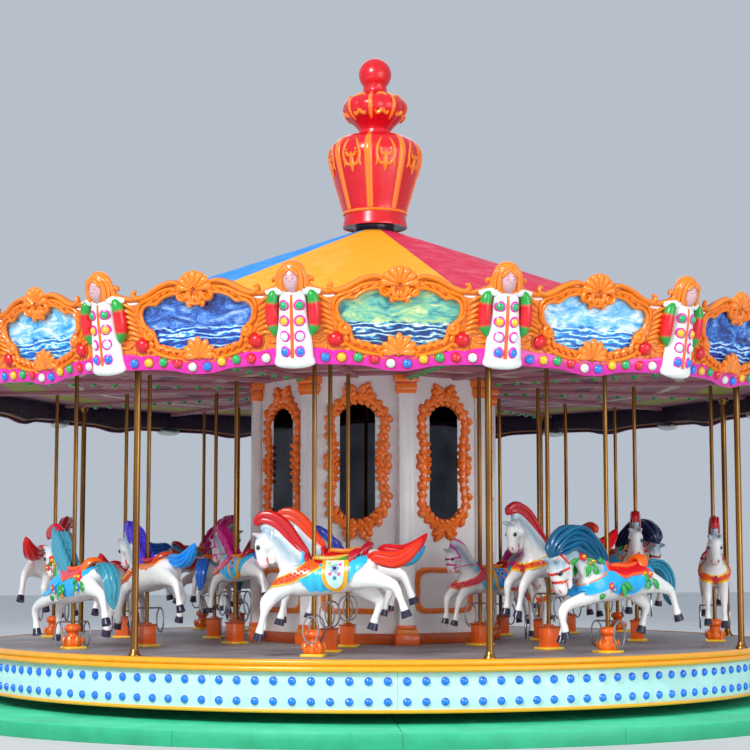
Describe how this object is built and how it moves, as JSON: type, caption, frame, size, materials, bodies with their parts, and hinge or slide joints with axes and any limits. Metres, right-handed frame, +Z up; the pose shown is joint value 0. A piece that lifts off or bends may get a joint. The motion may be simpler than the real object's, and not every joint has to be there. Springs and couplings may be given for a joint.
{
  "type": "fairground carousel",
  "caption": "Round fairground carousel: fixed low base, turning deck, mirrored octagonal column, rounding boards, segmented roof, vase finial and rows of rising horses.",
  "frame": {"origin": "middle of the underside of the fixed base, on the axis of rotation", "axes": "+Z up along the axis of rotation; -Y towards a drop pole and a corner between two rounding boards; horses ride clockwise seen from above"},
  "size_m": [9.1, 9.1, 6.58],
  "materials": {
    "green_plinth": "satin green floor paint on plywood, darker on the sides",
    "pedestal_steel": "dark greased steel",
    "deck_plate": "worn grey aluminium tread plate",
    "gold_moulding": "glossy orange gold paint on a moulded edge",
    "skirt_panels": "pale aqua painted panels with rows of blue lamp caps",
    "column_panels": "white painted panels with orange carved frames",
    "ceiling_panels": "printed ceiling panels on painted sweeps",
    "roof_panels": "satin painted glass fibre panels in yellow, blue and red segments",
    "board_shells": "glossy orange gold moulded shells with painted panels",
    "brass_tube": "lacquered brass coloured tube",
    "finial_shell": "glossy red moulded shell with orange gold ribs",
    "horse_shells": "glossy painted glass fibre"
  },
  "bodies": {
    "base": {"base_plinth": "green_plinth", "centre_pedestal": "pedestal_steel"},
    "turntable": {"deck_panel_1": "deck_plate", "deck_panel_2": "deck_plate", "deck_panel_3": "deck_plate", "deck_panel_4": "deck_plate", "deck_panel_5": "deck_plate", "deck_panel_6": "deck_plate", "deck_panel_7": "deck_plate", "deck_panel_8": "deck_plate", "deck_moulding": "gold_moulding", "deck_skirt": "skirt_panels", "centre_column": "column_panels", "canopy_frame": "ceiling_panels", "canopy_roof": "roof_panels", "rounding_boards_1": "board_shells", "rounding_boards_2": "board_shells", "rounding_boards_3": "board_shells", "rounding_boards_4": "board_shells", "rounding_boards_5": "board_shells", "rounding_boards_6": "board_shells", "rounding_boards_7": "board_shells", "rounding_boards_8": "board_shells", "drop_pole_1": "brass_tube", "drop_pole_2": "brass_tube", "drop_pole_3": "brass_tube", "drop_pole_4": "brass_tube", "drop_pole_5": "brass_tube", "drop_pole_6": "brass_tube", "drop_pole_7": "brass_tube", "drop_pole_8": "brass_tube", "finial_vase": "finial_shell", "finial_gourd": "finial_shell", "finial_ball": "finial_shell"},
    "horse_outer_1": {"horse_outer_1": "horse_shells"},
    "horse_outer_2": {"horse_outer_2": "horse_shells"},
    "horse_outer_3": {"horse_outer_3": "horse_shells"},
    "horse_outer_4": {"horse_outer_4": "horse_shells"},
    "horse_outer_5": {"horse_outer_5": "horse_shells"},
    "horse_outer_6": {"horse_outer_6": "horse_shells"},
    "horse_outer_7": {"horse_outer_7": "horse_shells"},
    "horse_outer_8": {"horse_outer_8": "horse_shells"},
    "horse_middle_1": {"horse_middle_1": "horse_shells"},
    "horse_middle_2": {"horse_middle_2": "horse_shells"},
    "horse_middle_3": {"horse_middle_3": "horse_shells"},
    "horse_middle_4": {"horse_middle_4": "horse_shells"},
    "horse_middle_5": {"horse_middle_5": "horse_shells"},
    "horse_middle_6": {"horse_middle_6": "horse_shells"},
    "horse_middle_7": {"horse_middle_7": "horse_shells"},
    "horse_middle_8": {"horse_middle_8": "horse_shells"},
    "horse_inner_1": {"horse_inner_1": "horse_shells"},
    "horse_inner_2": {"horse_inner_2": "horse_shells"},
    "horse_inner_3": {"horse_inner_3": "horse_shells"},
    "horse_inner_4": {"horse_inner_4": "horse_shells"},
    "horse_inner_5": {"horse_inner_5": "horse_shells"},
    "horse_inner_6": {"horse_inner_6": "horse_shells"},
    "horse_inner_7": {"horse_inner_7": "horse_shells"},
    "horse_inner_8": {"horse_inner_8": "horse_shells"}
  },
  "joints": [
    {"name": "turntable_spin", "type": "hinge", "parent": "base", "child": "turntable", "pos_m": [0, 0, 0.63], "axis": [0, 0, 1], "continuous": true},
    {"name": "horse_outer_1_rise", "type": "slide", "parent": "turntable", "child": "horse_outer_1", "axis": [0, 0, 1], "range_m": [-0.03, 0.23]},
    {"name": "horse_outer_2_rise", "type": "slide", "parent": "turntable", "child": "horse_outer_2", "axis": [0, 0, 1], "range_m": [-0.11, 0.15]},
    {"name": "horse_outer_3_rise", "type": "slide", "parent": "turntable", "child": "horse_outer_3", "axis": [0, 0, 1], "range_m": [-0.19, 0.07]},
    {"name": "horse_outer_4_rise", "type": "slide", "parent": "turntable", "child": "horse_outer_4", "axis": [0, 0, 1], "range_m": [-0.25, 0.01]},
    {"name": "horse_outer_5_rise", "type": "slide", "parent": "turntable", "child": "horse_outer_5", "axis": [0, 0, 1], "range_m": [-0.22, 0.04]},
    {"name": "horse_outer_6_rise", "type": "slide", "parent": "turntable", "child": "horse_outer_6", "axis": [0, 0, 1], "range_m": [-0.15, 0.11]},
    {"name": "horse_outer_7_rise", "type": "slide", "parent": "turntable", "child": "horse_outer_7", "axis": [0, 0, 1], "range_m": [0, 0.26]},
    {"name": "horse_outer_8_rise", "type": "slide", "parent": "turntable", "child": "horse_outer_8", "axis": [0, 0, 1], "range_m": [-0.09, 0.17]},
    {"name": "horse_middle_1_rise", "type": "slide", "parent": "turntable", "child": "horse_middle_1", "axis": [0, 0, 1], "range_m": [-0.25, 0.01]},
    {"name": "horse_middle_2_rise", "type": "slide", "parent": "turntable", "child": "horse_middle_2", "axis": [0, 0, 1], "range_m": [-0.22, 0.04]},
    {"name": "horse_middle_3_rise", "type": "slide", "parent": "turntable", "child": "horse_middle_3", "axis": [0, 0, 1], "range_m": [-0.15, 0.11]},
    {"name": "horse_middle_4_rise", "type": "slide", "parent": "turntable", "child": "horse_middle_4", "axis": [0, 0, 1], "range_m": [0, 0.26]},
    {"name": "horse_middle_5_rise", "type": "slide", "parent": "turntable", "child": "horse_middle_5", "axis": [0, 0, 1], "range_m": [-0.09, 0.17]},
    {"name": "horse_middle_6_rise", "type": "slide", "parent": "turntable", "child": "horse_middle_6", "axis": [0, 0, 1], "range_m": [-0.03, 0.23]},
    {"name": "horse_middle_7_rise", "type": "slide", "parent": "turntable", "child": "horse_middle_7", "axis": [0, 0, 1], "range_m": [-0.11, 0.15]},
    {"name": "horse_middle_8_rise", "type": "slide", "parent": "turntable", "child": "horse_middle_8", "axis": [0, 0, 1], "range_m": [-0.19, 0.07]},
    {"name": "horse_inner_1_rise", "type": "slide", "parent": "turntable", "child": "horse_inner_1", "axis": [0, 0, 1], "range_m": [-0.15, 0.11]},
    {"name": "horse_inner_2_rise", "type": "slide", "parent": "turntable", "child": "horse_inner_2", "axis": [0, 0, 1], "range_m": [0, 0.26]},
    {"name": "horse_inner_3_rise", "type": "slide", "parent": "turntable", "child": "horse_inner_3", "axis": [0, 0, 1], "range_m": [-0.09, 0.17]},
    {"name": "horse_inner_4_rise", "type": "slide", "parent": "turntable", "child": "horse_inner_4", "axis": [0, 0, 1], "range_m": [-0.03, 0.23]},
    {"name": "horse_inner_5_rise", "type": "slide", "parent": "turntable", "child": "horse_inner_5", "axis": [0, 0, 1], "range_m": [-0.11, 0.15]},
    {"name": "horse_inner_6_rise", "type": "slide", "parent": "turntable", "child": "horse_inner_6", "axis": [0, 0, 1], "range_m": [-0.19, 0.07]},
    {"name": "horse_inner_7_rise", "type": "slide", "parent": "turntable", "child": "horse_inner_7", "axis": [0, 0, 1], "range_m": [-0.25, 0.01]},
    {"name": "horse_inner_8_rise", "type": "slide", "parent": "turntable", "child": "horse_inner_8", "axis": [0, 0, 1], "range_m": [-0.22, 0.04]}
  ]
}
